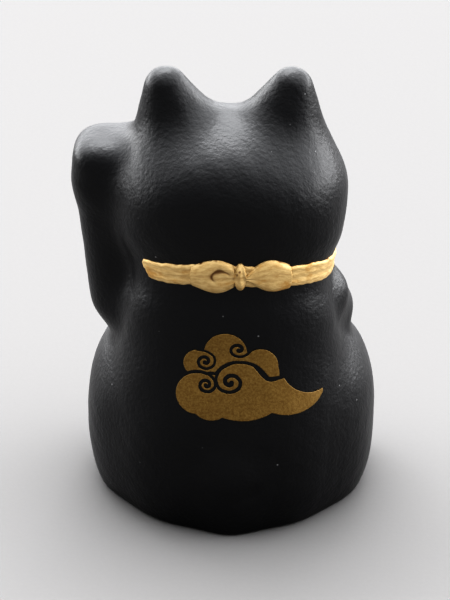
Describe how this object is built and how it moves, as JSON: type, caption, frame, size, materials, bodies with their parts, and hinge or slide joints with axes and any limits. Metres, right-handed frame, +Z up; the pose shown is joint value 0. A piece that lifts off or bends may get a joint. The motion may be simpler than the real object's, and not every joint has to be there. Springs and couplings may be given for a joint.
{
  "type": "beckoning cat figurine",
  "caption": "Small hollow cast figurine of a seated cat with one raised paw, a tied collar with a bell, an oval coin and a cloud print on its back.",
  "frame": {"origin": "middle of the figurine's box in plan, on the ground it stands on", "axes": "+Z up through the cat; the cat looks along -Y; its raised left paw is on the +X side"},
  "size_m": [0.0422, 0.0354, 0.0648],
  "materials": {
    "black_paint": "black cold paint on unglazed cast earthenware, satin with a fine pebbled surface",
    "brushed_gold_paint": "matte gold paint put on by hand, with brush streaks and brown recesses",
    "printed_gold": "matte dark gold print with a fine grain"
  },
  "bodies": {
    "root": {"body_shell": "black_paint", "collar_band": "brushed_gold_paint", "bow_loop_left": "brushed_gold_paint", "bow_loop_right": "brushed_gold_paint", "bow_knot": "brushed_gold_paint", "bell": "brushed_gold_paint", "koban_coin": "brushed_gold_paint", "cloud_lower": "printed_gold", "cloud_upper": "printed_gold"}
  },
  "joints": []
}
